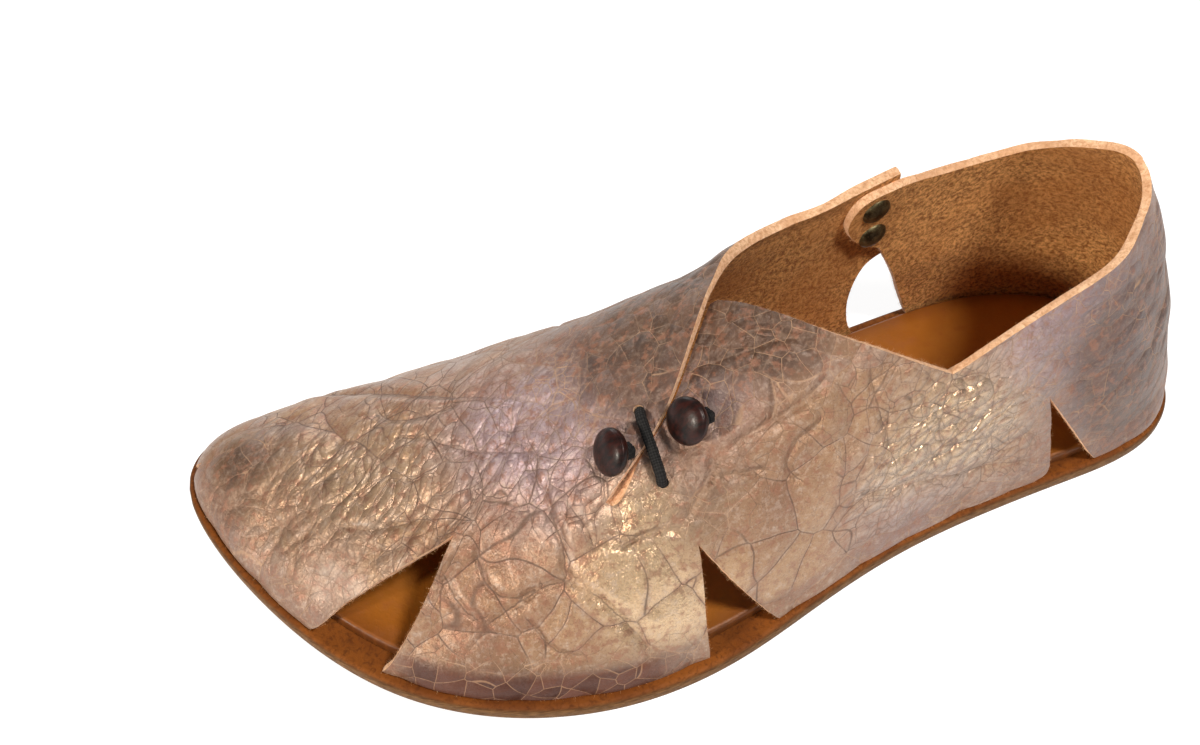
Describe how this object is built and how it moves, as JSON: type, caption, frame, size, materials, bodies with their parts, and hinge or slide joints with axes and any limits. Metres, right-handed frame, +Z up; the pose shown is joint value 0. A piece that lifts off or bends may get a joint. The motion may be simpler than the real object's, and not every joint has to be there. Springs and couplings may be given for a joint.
{
  "type": "flat shoe",
  "caption": "Flat slip-on shoe for the left foot: wrapped crackled leather upper with triangular cut-outs, throat slit closed by elastic cord and wooden buttons, thin leather sole.",
  "frame": {"origin": "centre of the sole's outline box, on the plane the shoe stands on", "axes": "+X towards the toe, +Y towards the lateral (left) side, +Z up"},
  "size_m": [0.258, 0.104, 0.0777],
  "materials": {
    "upper_leather": "crackled pearly coat over brown leather",
    "insole_leather": "smooth, burnished edge",
    "outsole_leather": "matt, rounded edge",
    "rivet_metal": "antique, dark",
    "button_wood": "dark, waxed",
    "elastic": "black, matt"
  },
  "bodies": {
    "root": {"upper": "upper_leather", "insole": "insole_leather", "outsole": "outsole_leather", "rivet_top": "rivet_metal", "rivet_bottom": "rivet_metal", "button_front": "button_wood", "button_back": "button_wood", "shank_front": "elastic", "shank_back": "elastic", "cord_bar": "elastic"}
  },
  "joints": []
}
